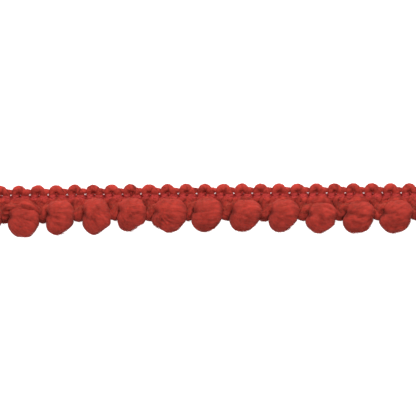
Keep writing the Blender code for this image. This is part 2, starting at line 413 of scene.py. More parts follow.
def add_tube(shell, centres, surface, shades):
    """A closed tube: surface and shades hold the points of each ring round the centres."""
    rings, sides = surface.shape[:2]
    points = np.vstack([surface.reshape(-1, 3), centres[0], centres[-1]])
    shell.add(points, tube_triangles(rings, sides), np.append(shades.ravel(), (CAP_SHADE, CAP_SHADE)))


# The pompoms

POMPOM_SEED = 500
BALL_SUBDIVISIONS = 6
FORM_FILLING = 3
FORM_SMOOTHING = 22
LOCK_SMOOTHING = 8
LOCK_SHARE = 0.11
POMPOM_REST_HEIGHT = 4.03
POMPOM_SHADE = 0.53
LOCK_GRAINS = (
    Grain(22, 3, 7, 0.02, 0.09),
    Grain(52, 5, 11, 0.02, 0.13),
    Grain(96, 12, 17, 0.02, 0.28),
)
LUMP_SMOOTHING = 40
LUMP_RELIEF = 0.03
# Levels on a pompom's ball run from -1 at the bottom to 1 at the top. Its locks, creases and crevice begin
# between these two.
RESTING_LEVELS = (-0.95, -0.7)
# The sunken crevice on the left of each pompom, where the roving comes in under its hook, dented and
# darkened with painted shade, and the levels between which it grows and fades
CREVICE_ANGLE = 169.0
CREVICE_HALF_WIDTH = 15.0
CREVICE_DEPTH = 0.3
CREVICE_PAINTED_SHADE = 0.65
CREVICE_FOOT = (-0.6, -0.1)
CREVICE_TOP = (0.45, 0.85)
# The creases on its upper side, darkened with painted shade, with painted highlight on the raised folds, how
# many steps their lines have, and over which share they fade at either end
CREASE_PAINTED_SHADE_AND_HIGHLIGHT = 0.7
CREASE_LEVELS = (0.0, 0.3)
CREASE_STEPS = 25
CREASE_FADE_IN = 0.18
CREASE_FADE_OUT = 0.3
# The wool is a little darker, with painted shade, on the underside of a pompom's front, where it curves away
# to the rim
RIM_LEVELS = (-0.2, 0.8)
RIM_FRONT = (-0.6, 0.3)
RIM_PAINTED_SHADE = 0.65
# The fibres of its coat follow a ball of this radius, start above this level, and a share of them stray
FIBRES_PER_POMPOM = 1400
FIBRE_BEND = 4.8
COAT_LOWEST = -0.9
STRAY_SHARE = 0.12
FIBRE_VEER = 0.35
STRAY_VEER = 0.8
FIBRE_LENGTHS = (0.7, 1.9)
FIBRE_LIFTS = (0.03, 0.14)
STRAY_LIFTS = (0.12, 0.32)
FIBRE_RADII = (0.022, 0.04)

# How the wool of each pompom lies: where its root is (angle seen from above and rise above level) and how
# far its locks curl, as in its solid, how deep the crevice on its left is and how much painted shade it
# holds, how far its wool stands out from its solid at six bearings round its front, and the creases and
# folds that show on its upper side
Lie = namedtuple("Lie", "root_angle root_rise curl crevice reach creases")
# A crease runs through three places, seen from the pompom's middle; one with a depth below 0 is a raised
# fold
Crease = namedtuple("Crease", "start middle end depth half_width")
# The wool stands out by nothing at the first and last of these bearings, and by the same on all pompoms at
# the two before the last
REACH_BEARINGS = (165, 200, 230, 260, 290, 320, 350, 380, 410, 450)
REACH_BEHIND = (0.4, 0.3)
LIES = (
    Lie(165, 15, 60, 0.9, (0.2, 0.4, 0.4, 0.3, 0.2, 0.1), (
        Crease((-4.0, 1.0), (-1.0, 0.6), (3.6, -1.6), 0.15, 0.60),)),
    Lie(140, 30, 50, 1.0, (0.1, 0.6, 0.4, 0.8, 0.6, 0.3), (
        Crease((-2.9, 2.3), (0.2, 3.5), (4.2, 1.4), 0.27, 0.50),
        Crease((-3.2, -1.0), (-0.5, -2.2), (2.0, -3.4), 0.12, 0.45))),
    Lie(160, 20, 40, 1.0, (-0.3, 0.6, 0.7, 0.3, 0.1, 0.1), (
        Crease((-4.4, 1.0), (-1.5, -0.2), (1.6, -0.4), 0.18, 0.55),
        Crease((-3.6, 2.2), (-0.5, 2.6), (2.6, 1.0), 0.10, 0.45))),
    Lie(125, 40, 60, 1.0, (-0.4, 0.2, 0.6, 0.7, 0.8, 0.7), (
        Crease((-2.6, 3.6), (-3.0, 2.6), (-2.9, 1.4), 0.18, 0.40),
        Crease((-3.9, -0.1), (-1.0, -1.2), (2.6, -1.0), 0.18, 0.55),
        Crease((0.9, 3.6), (1.4, 1.8), (1.5, 0.2), 0.09, 0.35))),
    Lie(150, 30, 70, 0.2, (0.2, 0.6, 0.35, 0.05, 0.6, 0.2), (
        Crease((-0.8, 2.0), (0.8, 0.4), (3.6, 1.0), 0.19, 0.50),
        Crease((-2.8, 0.4), (-2.2, -2.0), (-0.6, -3.6), 0.12, 0.45))),
    Lie(158, 12, 45, 1.2, (0.45, 0.1, 0.6, 0.3, 0.05, 0.1), (
        Crease((-3.0, 0.2), (-2.0, -2.0), (0.4, -4.0), 0.36, 0.30),
        Crease((-2.2, 0.2), (-0.9, -1.7), (2.0, -3.1), 0.36, 0.30),
        Crease((-1.0, 0.2), (0.6, -1.2), (3.2, -2.0), 0.26, 0.30),
        Crease((-3.9, -0.6), (-3.4, -2.3), (-1.8, -4.0), 0.32, 0.30))),
    Lie(175, 8, 25, 0.7, (0.15, 0.5, 0.5, -0.05, -0.4, -0.1), (
        Crease((-2.8, 0.6), (0.6, 0.9), (4.2, 1.2), 0.19, 0.45),
        Crease((-2.0, -0.4), (-0.9, -0.2), (0.2, -1.2), 0.08, 0.35),
        Crease((-2.6, -2.4), (-0.6, -3.4), (2.4, -2.2), 0.11, 0.40))),
    Lie(160, 20, 50, 0.9, (0.3, 0.55, 0.25, -0.2, -0.7, -0.4), (
        Crease((-4.1, 0.4), (-2.4, 2.6), (3.2, 1.0), 0.20, 0.50),
        Crease((-2.8, -2.4), (-0.4, -3.6), (2.8, -2.0), 0.11, 0.40),
        Crease((-3.4, 3.6), (-0.2, 4.4), (4.2, 2.2), -0.10, 0.70))),
    Lie(155, 30, 55, 1.0, (0.2, 0.55, 0.4, -0.25, -0.7, -0.4), (
        Crease((-3.2, -2.2), (-0.8, -3.9), (2.4, -2.4), 0.13, 0.40),
        Crease((-2.6, -3.2), (-0.2, -4.6), (2.8, -3.0), 0.11, 0.40),
        Crease((0.0, -1.4), (1.0, -1.9), (1.8, -1.2), 0.08, 0.35))),
    Lie(170, 18, -45, 1.0, (0.4, 0.6, 0.4, -0.15, -0.25, -0.5), (
        Crease((-3.2, 1.5), (-0.5, 0.6), (2.0, -0.5), 0.10, 0.45),
        Crease((0.6, 3.8), (1.8, 2.6), (3.2, 1.9), 0.10, 0.35))),
    Lie(178, 8, 30, 1.0, (0.5, 0.7, 0.4, 0.15, -0.4, -0.5), (
        Crease((-3.3, 0.9), (-0.6, 0.6), (2.8, -0.5), 0.42, 0.60),
        Crease((-3.0, 0.0), (-0.1, -1.2), (3.0, -2.2), -0.18, 0.45),
        Crease((-3.0, -1.0), (-0.3, -2.2), (2.6, -3.2), 0.13, 0.50))),
    Lie(165, 22, 95, 1.1, (1.1, 1.1, 0.5, -0.1, -0.6, -0.7), (
        Crease((-2.9, 0.6), (-1.0, 0.9), (1.2, 0.6), 0.19, 0.50),
        Crease((-3.0, 0.5), (-1.6, -2.0), (1.4, -3.2), 0.16, 0.40),
        Crease((-2.4, 3.6), (0.4, 3.9), (4.0, 2.4), 0.10, 0.35),
        Crease((-2.4, 2.6), (0.4, 2.6), (4.2, 1.2), 0.10, 0.35))),
    Lie(160, 20, 50, 0.9, (0.3, 0.4, 0.3, 0.1, 0.0, 0.0), (
        Crease((-3.6, 1.0), (-0.5, 0.4), (3.4, -1.0), 0.16, 0.55),)),
)
# The neck by which a pompom hangs in the heading: a broad strand from its lower back, seen from its middle
# and the line of the trim, with half its width and half its height
YarnPoint = namedtuple("YarnPoint", "x y z half_width half_height")
NECK = (
    YarnPoint(0.0, -1.6, 1.3, 3.0, 1.2),
    YarnPoint(-0.1, -0.2, 1.2, 4.8, 1.4),
    YarnPoint(-0.2, 1.2, 1.5, 4.4, 1.4),
    YarnPoint(0.0, 2.2, 1.7, 3.3, 1.5),
    YarnPoint(0.0, 2.9, 1.5, 2.7, 1.1),
    YarnPoint(0.0, 3.4, 1.2, 2.1, 0.75),
    YarnPoint(0.0, 3.7, 1.0, 1.3, 0.5),
)
NECK_FIBRES = 400
NECK_RINGS = 16
# The soft band of wool that crosses the back of the second pompom, seen from its middle and the line of the
# trim
BANDED_POMPOM = 1
BAND = (
    YarnPoint(-5.6, 0.6, 3.6, 0.80, 0.70),
    YarnPoint(-4.5, 1.2, 4.9, 1.05, 0.85),
    YarnPoint(-3.1, 1.3, 5.8, 1.00, 0.80),
    YarnPoint(-1.8, 1.2, 6.1, 0.70, 0.45),
    YarnPoint(-0.6, 1.5, 6.2, 0.95, 0.55),
    YarnPoint(0.9, 1.7, 6.4, 1.25, 0.75),
    YarnPoint(2.5, 1.4, 6.1, 1.35, 0.85),
    YarnPoint(3.8, 0.7, 5.2, 1.20, 0.80),
    YarnPoint(5.0, -0.3, 3.9, 1.00, 0.80),
    YarnPoint(5.7, -1.1, 2.8, 0.80, 0.70),
)
BAND_RINGS = 40
BAND_FIBRES = 900
# How a yarn is laid: the sides of its tube, its plies and how deep they are cut, and its turns a millimetre
Twist = namedtuple("Twist", "sides plies ply_depth turns_per_mm")
STRAND_TWIST = Twist(30, 7, 0.06, 0.02)
STRAND_COAT = Coat((0.3, 1.6), (0.05, 0.35), (0.018, 0.03), (0.2, 1.0))
# A finished pompom: its middle, half its width and a search tree of its faces
Ball = namedtuple("Ball", "middle half_width tree")


def ball_mesh():
    """Directions, triangles and neighbour pairs of a fine ball."""
    bm = bmesh.new()
    bmesh.ops.create_icosphere(bm, subdivisions=BALL_SUBDIVISIONS, radius=1.0)
    directions = unit(np.array([v.co[:] for v in bm.verts]))
    triangles = np.array([[v.index for v in f.verts] for f in bm.faces])
    edges = np.array([[v.index for v in e.verts] for e in bm.edges])
    bm.free()
    return directions, triangles, edges


def filled(values, edges, times):
    """The values with each raised to its highest neighbour, that many times."""
    for _ in range(times):
        raised = values.copy()
        np.maximum.at(raised, edges[:, 0], values[edges[:, 1]])
        np.maximum.at(raised, edges[:, 1], values[edges[:, 0]])
        values = raised
    return values


def averaged(values, edges, times):
    """The values with each moved to the middle of its neighbours, that many times."""
    count = np.bincount(edges.ravel(), minlength=len(values))
    for _ in range(times):
        total = np.bincount(edges[:, 0], values[edges[:, 1]], len(values))
        total += np.bincount(edges[:, 1], values[edges[:, 0]], len(values))
        values = 0.5 * values + 0.5 * total / count
    return values


def solid_tree(node):
    """A search tree of a solid's faces, and its corners, in millimetres."""
    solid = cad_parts[node]
    points = [solid.matrix_world @ v.co / MM for v in solid.data.vertices]
    low, high = (Vector(corner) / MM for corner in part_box(node))
    return BVHTree.FromPolygons(points, [p.vertices[:] for p in solid.data.polygons]), low, high


def root_frame(lie):
    """The three directions of a pompom's locks: two across its root axis and the root axis itself."""
    level, rise = math.radians(lie.root_angle), math.radians(lie.root_rise)
    root = Vector((math.cos(rise) * math.cos(level), math.cos(rise) * math.sin(level), math.sin(rise)))
    turn = Vector((0, 0, 1)).rotation_difference(root)
    return np.array([(turn @ Vector(axis))[:] for axis in ((1, 0, 0), (0, 1, 0), (0, 0, 1))])


def crease_relief(crease, plan):
    """How far a crease lowers places seen from above: a soft trough along a bent line that fades out."""
    start, middle, end = (np.array(p) for p in (crease.start, crease.middle, crease.end))
    bend = 2 * middle - (start + end) / 2
    share = np.linspace(0, 1, CREASE_STEPS)[:, None]
    line = start * (1 - share) ** 2 + 2 * bend * share * (1 - share) + end * share**2
    apart = np.linalg.norm(plan[:, None] - line[None], axis=2)
    fade = smooth_step(0, CREASE_FADE_IN, share[:, 0]) * smooth_step(0, CREASE_FADE_OUT, 1 - share[:, 0])
    return crease.depth * (np.exp(-((apart / crease.half_width) ** 2)) * fade).max(axis=1)


def soft_form(tree, middle, directions, edges):
    """How far a solid reaches in each direction: its form, softened, with a share of its locks."""
    radius = np.array([tree.ray_cast(middle, Vector(d))[3] for d in directions])
    locks = averaged(radius, edges, LOCK_SMOOTHING)
    form = averaged(filled(radius, edges, FORM_FILLING), edges, FORM_SMOOTHING)
    return form + LOCK_SHARE * (locks - form)


def lock_places(lie, local):
    """How far along its lock each direction lies, from the root, and which lock it is in, in turns."""
    share = np.arccos(np.clip(local[:, 2], -1, 1)) / math.pi
    around = np.arctan2(local[:, 1], local[:, 0]) - math.radians(lie.curl) * share
    return share, around / math.tau % 1.0


def crevice_share(lie, bearing, level):
    """How far into a pompom's left crevice each place lies, for its dent and painted shade: 0 outside it."""
    across = lie.crevice * np.exp(-(((bearing - CREVICE_ANGLE) / CREVICE_HALF_WIDTH) ** 2))
    return across * smooth_step(*CREVICE_FOOT, level) * (1 - smooth_step(*CREVICE_TOP, level))


def reach_beyond(lie, bearing, level):
    """How far a pompom's wool stands out from its solid."""
    turned = np.where(bearing < REACH_BEARINGS[0], bearing + 360, bearing)
    reach = np.interp(turned, REACH_BEARINGS, (0, *lie.reach, *REACH_BEHIND, 0))
    return reach * (1 - level**2)


def lock_directions(lie, root, directions, belt):
    """The way that the locks run at each place: from the root, with a swirl, most of it at mid-length."""
    comb = np.cross(np.cross(directions, root), directions)
    swirl = np.cross(root, directions)
    curl = math.radians(lie.curl) / math.pi
    return unit(-unit(comb) + curl * belt[:, None] ** 2 * swirl)


def add_coat(shell, points, directions, along, painted_shade, chance):
    """A pompom's coat: fibres that lie along its locks, and a few that stray."""
    count = FIBRES_PER_POMPOM
    roots = chance.choice(np.flatnonzero(directions[:, 2] > COAT_LOWEST), count, replace=False)
    stray = chance.random(count) < STRAY_SHARE
    veer = chance.normal(0, FIBRE_VEER, count) + stray * chance.normal(0, STRAY_VEER, count)
    out = directions[roots]
    lay = unit(along[roots] - (along[roots] * out).sum(1, keepdims=True) * out)
    lay = lay * np.cos(veer)[:, None] + np.cross(out, lay) * np.sin(veer)[:, None]
    lengths = chance.uniform(*FIBRE_LENGTHS, count)
    lifts = np.where(stray, chance.uniform(*STRAY_LIFTS, count), chance.uniform(*FIBRE_LIFTS, count))
    radii = chance.uniform(*FIBRE_RADII, count)
    # Each fibre takes on the painted shade where its root is
    shades = chance.uniform(0.0, 1.0, count) - painted_shade[roots]
    add_fibres(shell, points[roots], out, lay, lengths, lifts, radii, shades, FIBRE_BEND)


def add_wool_strand(shell, rows, rings, middle, chance, fibres):
    """A short soft strand of wool at a pompom: its neck, held by the heading's yarn, or a band over it."""
    route = smooth_route(rows, rings)
    route[:, 0] += middle.x
    route[:, 1] += sway(middle.x)
    strand = add_yarn(shell, route, chance, STRAND_TWIST)
    add_fuzz(shell, strand, chance, fibres, STRAND_COAT)


def build_pompom(index, lie, ball, finish):
    """One pompom: the form of its solid, softened and combed along its locks, with its creases, a coat of
    fibres and its neck."""
    directions, triangles, edges = ball
    node = f"pompom_{index + 1:02d}"
    chance = np.random.default_rng(POMPOM_SEED + index)
    tree, low, high = solid_tree(node)
    middle = Vector(((low.x + high.x) / 2, (low.y + high.y) / 2, POMPOM_REST_HEIGHT))
    radius = soft_form(tree, middle, directions, edges)
    axes = root_frame(lie)
    share, turns = lock_places(lie, directions @ axes.T)
    belt = np.sqrt(np.clip(np.sin(math.pi * share), 0, 1))
    noises = [grain_noise(grain, turns, share, chance) for grain in LOCK_GRAINS]
    lumps = averaged(chance.normal(0, 1, len(radius)), edges, LUMP_SMOOTHING)
    lumps = lumps / lumps.std()
    level = directions[:, 2]
    bearing = np.degrees(np.arctan2(directions[:, 1], directions[:, 0])) % 360
    crevice = crevice_share(lie, bearing, level)
    plan = directions[:, :2] * radius[:, None]
    folds = smooth_step(*CREASE_LEVELS, level) * sum(crease_relief(crease, plan) for crease in lie.creases)
    relief = belt * sum(grain.relief * noise for grain, noise in zip(LOCK_GRAINS, noises))
    relief += LUMP_RELIEF * lumps + reach_beyond(lie, bearing, level) - CREVICE_DEPTH * crevice - folds
    # Painted shade on the underside of the pompom's front, towards its rim
    painted_rim_shade = (1 - smooth_step(*RIM_LEVELS, level)) * (1 - smooth_step(*RIM_FRONT, directions[:, 1]))
    # The wool's painted shade: darker in the crevice, the creases and towards the front rim, lighter on
    # raised folds
    painted_shade = CREVICE_PAINTED_SHADE * crevice + CREASE_PAINTED_SHADE_AND_HIGHLIGHT * folds + RIM_PAINTED_SHADE * painted_rim_shade
    radius = radius + relief * smooth_step(*RESTING_LEVELS, level)
    points = np.array(middle[:]) + directions * radius[:, None]
    points[:, 2] = np.maximum(points[:, 2], 0.0)
    shades = POMPOM_SHADE + sum(grain.shade * noise for grain, noise in zip(LOCK_GRAINS, noises)) - painted_shade
    shell = Shell()
    shell.add(points, triangles, shades)
    add_coat(shell, points, directions, lock_directions(lie, axes[2], directions, belt), painted_shade, chance)
    add_wool_strand(shell, NECK, NECK_RINGS, middle, chance, NECK_FIBRES)
    if index == BANDED_POMPOM:
        add_wool_strand(shell, BAND, BAND_RINGS, middle, chance, BAND_FIBRES)
    shell.make(node + "_wool", finish, "pompom_wool", node)
    form = BVHTree.FromPolygons(points.tolist(), triangles.tolist())
    return Ball(np.array(middle[:]), (high.x - low.x) / 2, form)


def build_pompoms(finish):
    """All pompoms, for the roving to keep clear of."""
    ball = ball_mesh()
    return [build_pompom(index, lie, ball, finish) for index, lie in enumerate(LIES)]


# The roving between the pompoms

# The way of the roving, seen from the middle of the pompom that it runs into, and its thickness. Its first
# and last points lie in the wool of the pompoms beside it, and its last ones follow the second one across
# the trim.
RovingPoint = namedtuple("RovingPoint", "x y z radius")
ROVING = (
    RovingPoint(-7.9, -1.0, 2.4, 1.20),
    RovingPoint(-7.1, -1.50, 2.8, 1.55),
    RovingPoint(-6.3, -1.75, 2.9, 1.72),
    RovingPoint(-5.6, -1.70, 3.0, 1.80),
    RovingPoint(-5.3, -1.10, 3.1, 1.70),
    RovingPoint(-5.15, -0.3, 3.4, 1.50),
    RovingPoint(-4.85, 0.30, 3.8, 1.25),
    RovingPoint(-4.3, 0.75, 4.1, 1.10),
    RovingPoint(-3.5, 0.95, 4.4, 1.05),
    RovingPoint(-2.8, 1.05, 4.8, 0.90),
    RovingPoint(-2.1, 1.05, 5.1, 0.65),
)
# The part of the roving that runs up from a bight into the heading
RISER = (
    RovingPoint(-5.9, -1.6, 1.1, 1.75),
    RovingPoint(-6.1, 0.0, 1.1, 1.90),
    RovingPoint(-6.5, 1.2, 1.1, 1.60),
    RovingPoint(-7.0, 2.2, 1.0, 1.10),
    RovingPoint(-7.0, 3.2, 0.9, 0.75),
)
# The roving is darker underneath, with painted shade: below this height, and this far in front of the line
# of the trim
ROVING_PAINTED_SHADE_HEIGHTS = (1.4, 3.6)
ROVING_PAINTED_SHADE_FRONT = (-3.4, -0.9)
ROVING_PAINTED_SHADE = 0.55
UNDERSIDE_SHARE = 0.7
# Painted shade also darkens it where it meets the pompom that it runs into, this near to it
MEETING_GAP = 0.45
MEETING_PAINTED_SHADE = 0.4
# Between these places on its way a roving turns to its own pompom's place across the trim. Its route is
# drawn for a pompom with this middle and this half width.
HOOK_STARTS = -5.8
HOOK_ENDS = -3.6
USUAL_MIDDLE_Y = -1.9
USUAL_HALF_WIDTH = 4.9
ROVING_SEED = 700
ROVING_RINGS = 64
ROVING_SIDES = 30
RISER_RINGS = 30
ROVING_GRAINS = (
    Grain(9, 3, 5, 0.13, 0.30),
    Grain(20, 9, 10, 0.07, 0.35),
)
ROVING_SHADE = 0.5
# How far its streaks turn round it, in radians, how far its middle strays at so many points, and how low it
# may lie
ROVING_TWIST = 2.2
ROVING_STRAY = 0.16
ROVING_STRAY_POINTS = 6
ROVING_LOWEST = 0.3
# A strand bears no fibres on its first tenth and its last eighth
BARE_START = 10
BARE_END = 8
FIBRES_PER_ROVING = 900
FIBRES_PER_RISER = 300
ROVING_COAT = Coat((0.6, 1.5), (0.05, 0.35), (0.022, 0.038), (0.1, 1.0))
# A strand is kept this clear of the pompoms beside it, between these shares of its length
CLEARANCE = 0.06
CLEAR_FROM = 0.12
BIGHT_CLEAR_UNTIL = 0.62
RISER_CLEAR_UNTIL = 1.0
FAR_GAP = 9.0
# The stub at the right end has no pompom to run into, so it leaves out the last points of the hook
STUB_LEAVES_OUT = 3


def seen_from(ball, point):
    """A point's direction and distance from a pompom's middle, and how far the pompom reaches that way."""
    away = point - ball.middle
    distance = np.linalg.norm(away)
    way = away / distance
    return way, distance, ball.tree.ray_cast(Vector(ball.middle), Vector(way))[3]


def gap_to_ball(surface, ball):
    """How far each point is outside a pompom."""
    gaps = np.full(surface.shape[:2], FAR_GAP)
    for ring, k in np.ndindex(*gaps.shape):
        _, distance, reach = seen_from(ball, surface[ring, k])
        if reach is not None:
            gaps[ring, k] = distance - reach
    return gaps


def keep_clear(surface, shares, balls, until):
    """Moves the points of a strand out of the pompoms beside it, but for its first and last stretches."""
    for ring, share in enumerate(shares):
        if not CLEAR_FROM < share < until:
            continue
        for ball in balls:
            for k in range(surface.shape[1]):
                way, distance, reach = seen_from(ball, surface[ring, k])
                if reach is not None and distance < reach + CLEARANCE:
                    surface[ring, k] = ball.middle + way * (reach + CLEARANCE)


def add_strand(shell, rows, rings, goal, chance, beside, clear_until, hairs):
    """A soft strand of roving that runs into the pompom goal, clear of the pompoms beside it."""
    route = smooth_route(rows, rings)
    centres = route[:, :3] + np.array([goal.middle[0] + USUAL_HALF_WIDTH - goal.half_width, 0.0, 0.0])
    follow = smooth_step(HOOK_STARTS, HOOK_ENDS, route[:, 0])
    centres[:, 1] += sway(centres[:, 0]) + follow * (goal.middle[1] - USUAL_MIDDLE_Y)
    centres[:, :2] += smooth_route(chance.normal(0, ROVING_STRAY, (ROVING_STRAY_POINTS, 2)), rings)
    forward, side, up = tube_frames(centres)
    turn = np.linspace(0, math.tau, ROVING_SIDES, endpoint=False)
    share = np.linspace(0, 1, rings)[:, None]
    strand = (turn[None] + ROVING_TWIST * share) / math.tau
    noises = [grain_noise(grain, strand, share, chance) for grain in ROVING_GRAINS]
    radius = route[:, 3:4] * (1 + sum(grain.relief * noise for grain, noise in zip(ROVING_GRAINS, noises)))
    out = outward(turn, side, up)
    surface = centres[:, None] + out * radius[..., None]
    keep_clear(surface, share[:, 0], beside, clear_until)
    # How near each point is to the pompom that the strand runs into, for painted shade where they meet
    meeting = np.exp(-((gap_to_ball(surface, goal) / MEETING_GAP) ** 2)) * (share < clear_until)
    surface[..., 0] = np.clip(surface[..., 0], -HALF_LENGTH, HALF_LENGTH)
    surface[..., 2] = np.maximum(surface[..., 2], ROVING_LOWEST)
    # Painted shade: the strand is darker low down and in front, and where it meets its pompom
    under = 1 - smooth_step(*ROVING_PAINTED_SHADE_HEIGHTS, surface[..., 2])
    front = 1 - smooth_step(*ROVING_PAINTED_SHADE_FRONT, surface[..., 1] - sway(surface[..., 0]))
    painted_shade = ROVING_PAINTED_SHADE * np.maximum(UNDERSIDE_SHARE * under, front) + MEETING_PAINTED_SHADE * meeting
    shades = ROVING_SHADE + sum(grain.shade * noise for grain, noise in zip(ROVING_GRAINS, noises)) - painted_shade
    add_tube(shell, centres, surface, shades)
    starts = chance.integers(rings // BARE_START, rings - rings // BARE_END, hairs)
    sides = chance.integers(0, ROVING_SIDES, hairs)
    lengths, lifts, radii, lights = (chance.uniform(*span, hairs) for span in ROVING_COAT)
    add_fibres(shell, surface[starts, sides], out[starts, sides], forward[starts], lengths, lifts, radii,
               lights - painted_shade[starts, sides])


def build_roving(balls, finish):
    """The soft bights of roving, each squeezed between two pompoms, held in the heading and hooked into the
    second pompom."""
    after = balls[-1]._replace(middle=balls[-1].middle + np.array([POMPOM_PITCH, 0.0, 0.0]))
    goals = [*balls, after]
    for index, goal in enumerate(goals):
        node = f"roving_{index + 1:02d}"
        chance = np.random.default_rng(ROVING_SEED + index)
        beside = balls[max(index - 1, 0) : index + 1]
        rows = ROVING[1:] if index == 0 else ROVING
        rows = rows[:-STUB_LEAVES_OUT] if index == len(goals) - 1 else rows
        shell = Shell()
        add_strand(shell, rows, ROVING_RINGS, goal, chance, beside, BIGHT_CLEAR_UNTIL, FIBRES_PER_ROVING)
        add_strand(shell, RISER, RISER_RINGS, goal, chance, beside, RISER_CLEAR_UNTIL, FIBRES_PER_RISER)
        shell.make(node + "_wool", finish, "pompom_wool", node)


# The heading

# The thick weft, seen from the middle of a picot: up the left leg, over the arch, down the right leg and
# round the lower loop to the next picot
WEFT = (
    YarnPoint(-0.98, 3.25, 0.90, 1.02, 0.85),
    YarnPoint(-1.00, 4.10, 0.66, 1.02, 0.60),
    YarnPoint(-1.24, 4.95, 0.80, 1.00, 0.72),
    YarnPoint(-1.36, 5.70, 1.05, 0.90, 0.88),
    YarnPoint(-0.94, 6.50, 1.15, 1.06, 0.95),
    YarnPoint(0.00, 6.85, 1.15, 1.14, 1.00),
    YarnPoint(0.94, 6.50, 1.15, 1.06, 0.95),
    YarnPoint(1.38, 5.65, 1.05, 0.86, 0.88),
    YarnPoint(1.22, 4.95, 0.80, 0.66, 0.70),
    YarnPoint(1.15, 4.20, 0.62, 0.72, 0.56),
    YarnPoint(0.85, 3.40, 0.95, 0.95, 0.85),
    YarnPoint(0.40, 2.50, 1.05, 1.08, 0.92),
    YarnPoint(0.75, 1.80, 1.10, 1.08, 0.92),
    YarnPoint(1.70, 1.70, 1.05, 1.05, 0.90),
    YarnPoint(2.60, 2.15, 0.90, 1.05, 0.82),
    YarnPoint(3.60, 2.60, 0.90, 1.05, 0.82),
)
# The second weft, which fills the right leg of each arch and turns back in a puff below it
SECOND_WEFT = (
    YarnPoint(-2.90, 2.80, 0.55, 1.10, 0.55),
    YarnPoint(-1.70, 2.50, 0.50, 1.20, 0.50),
    YarnPoint(-0.40, 2.70, 0.50, 1.20, 0.50),
    YarnPoint(0.80, 3.20, 0.70, 0.90, 0.65),
    YarnPoint(1.60, 4.10, 0.62, 0.80, 0.54),
    YarnPoint(1.85, 5.32, 1.12, 0.78, 0.72),
    YarnPoint(2.30, 5.27, 1.12, 0.68, 0.70),
    YarnPoint(2.28, 3.95, 0.75, 0.78, 0.58),
    YarnPoint(2.05, 3.10, 1.15, 1.00, 0.80),
    YarnPoint(2.45, 2.45, 1.15, 1.02, 0.80),
)
# The upper cord, which shows as a broad shoulder between the arches and passes behind them
UPPER_CORD = (
    YarnPoint(-1.60, 5.62, 0.62, 0.62, 0.40),
    YarnPoint(-0.60, 5.50, 0.62, 0.62, 0.38),
    YarnPoint(0.40, 5.50, 0.64, 0.63, 0.38),
    YarnPoint(1.20, 5.84, 0.90, 0.78, 0.50),
    YarnPoint(1.80, 5.98, 1.25, 0.86, 0.62),
    YarnPoint(2.50, 5.96, 1.30, 0.84, 0.62),
    YarnPoint(3.10, 5.91, 1.15, 0.80, 0.58),
    YarnPoint(3.65, 5.82, 0.75, 0.66, 0.48),
)
# Two low filling yarns behind the chain stitches and the puffs
UPPER_FILLING = (
    YarnPoint(-2.80, 3.90, 0.30, 0.66, 0.28),
    YarnPoint(0.00, 4.00, 0.30, 0.68, 0.28),
)
LOWER_FILLING = (
    YarnPoint(-2.80, 1.65, 0.62, 2.00, 0.58),
    YarnPoint(0.00, 1.60, 0.62, 2.00, 0.58),
)
# The three hairy yarns of the heading: how far the points of their routes stray, and how many hairs they
# bear
HeadingYarn = namedtuple("HeadingYarn", "name table jitter hairs")
HEADING_YARNS = (
    HeadingYarn("picot_weft", WEFT, 0.05, 14000),
    HeadingYarn("second_weft", SECOND_WEFT, 0.05, 6000),
    HeadingYarn("upper_cord", UPPER_CORD, 0.03, 5000),
)
HEADING_SEED = 41
HEADING_TWIST = Twist(16, 5, 0.08, 0.26)
HEADING_COAT = Coat((0.3, 1.2), (0.05, 0.35), (0.018, 0.03), (0.2, 1.0))
FILLING_TWIST = Twist(16, 3, 0.08, 0.16)
FILLING_JITTER = 0.03
STEPS_PER_PITCH = 66
FILLING_STEPS_PER_PITCH = 12
# A point strays this share as far up and down as it does along and across
JITTER_RISE = 0.5
# The yarn is darker with painted shade low in the heading, below these heights, and in the grooves between
# its plies
YARN_PAINTED_SHADE_HEIGHTS = (0.6, 1.2)
YARN_PAINTED_SHADE = 0.2
YARN_SHADE = 0.64
GROOVE_PAINTED_SHADE = 0.55
# Its thick and thin places, the streaks of its fibres and their mottle. The mottle grows from the low loops
# to the arches, between these distances from the line of the trim.
SLUB = Grain(6, 0.9, 997, 0.05, 0.20)
STREAKS = Grain(8, 0.7, 997, 0.03, 0.55)
MOTTLE = Grain(16, 1.8, 997, 0.0, 0.95)
LOOP_MOTTLE = 0.35
ARCH_RANGE = (4.2, 6.0)
# Its hairs start at least this many rings from its ends, and turn off its way by about this much
FUZZ_MARGIN = 4
FUZZ_VEER = 0.5
# A chain stitch: the thread runs forward on one side, round its front end, back on the other side, and
# forward again underneath, as shares of the stitch's length and of its half width
ChainPoint = namedtuple("ChainPoint", "forward across lift")
CHAIN_STITCH = (
    ChainPoint(0.00, -0.15, -0.6),
    ChainPoint(0.35, -0.75, 0.1),
    ChainPoint(0.90, -1.00, 0.6),
    ChainPoint(1.32, -0.55, 0.5),
    ChainPoint(1.42, 0.00, 0.3),
    ChainPoint(1.32, 0.55, 0.5),
    ChainPoint(0.90, 1.00, 0.6),
    ChainPoint(0.35, 0.75, 0.1),
    ChainPoint(0.15, 0.20, -0.7),
    ChainPoint(0.60, 0.00, -0.9),
)
CHAIN_STITCHES_PER_PITCH = 4
CHAIN_STEPS_PER_STITCH = 26
CHAIN_TWIST = Twist(6, 2, 0.15, 1.5)
CHAIN_THREAD_RADIUS = 0.15
CHAIN_LIFT = 0.16
# Between the legs of the weft, at these places from a picot's middle, the chains sink into the gaps, down
# into the painted shade that darkens the yarn low in the heading
CHAIN_SLITS = (0.25, 3.38)
CHAIN_SLIT_HALF_WIDTH = 0.40
CHAIN_SINK = 1.15
CHAIN_WAVE = 0.14
CHAIN_WAVE_PHASE = 0.4
CHAIN_START = 0.3
CHAIN_JITTER = 0.02
